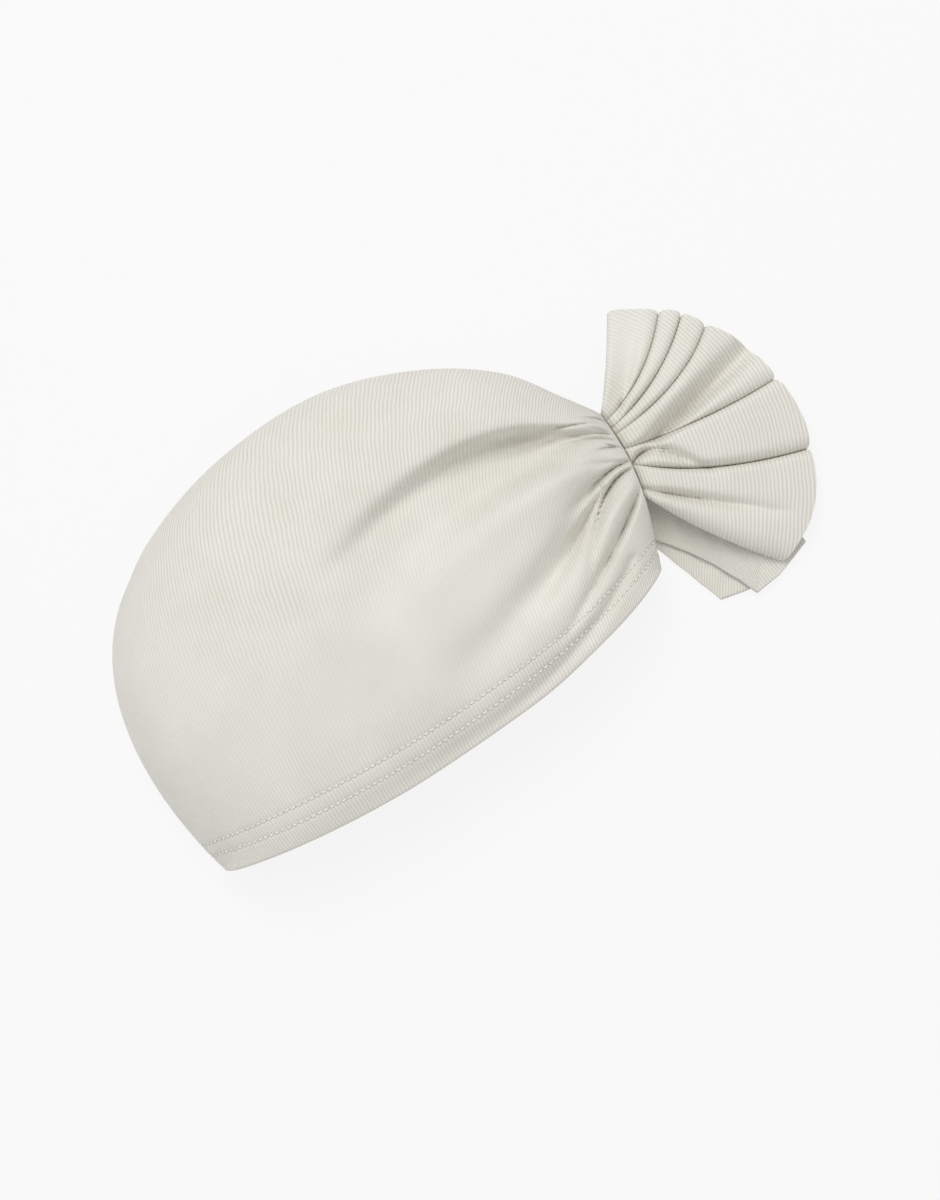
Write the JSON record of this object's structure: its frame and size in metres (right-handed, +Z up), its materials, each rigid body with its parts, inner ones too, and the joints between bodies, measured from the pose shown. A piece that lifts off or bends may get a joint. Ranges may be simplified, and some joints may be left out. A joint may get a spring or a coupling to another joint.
{
  "type": "turban hat",
  "caption": "Baby's turban hat in ribbed jersey: a soft cap, open at the hem and gathered at the front into a pleated fan, lying on its side.",
  "frame": {"origin": "on the surface that the hat lies on, under the middle of its box", "axes": "+X along the hem from its back corner to the fan, +Y from the hem to the cap's top fold, +Z up off the surface"},
  "size_m": [0.276, 0.1562, 0.0581],
  "materials": {
    "jersey": "matt rib-knit cotton",
    "jersey_hem": "matt rib-knit cotton, doubled and stitched"
  },
  "bodies": {
    "root": {"crown": "jersey", "hem_band": "jersey_hem", "gather_seam": "jersey", "fan_front": "jersey", "fan_hem": "jersey_hem", "fan_back": "jersey"}
  },
  "joints": []
}
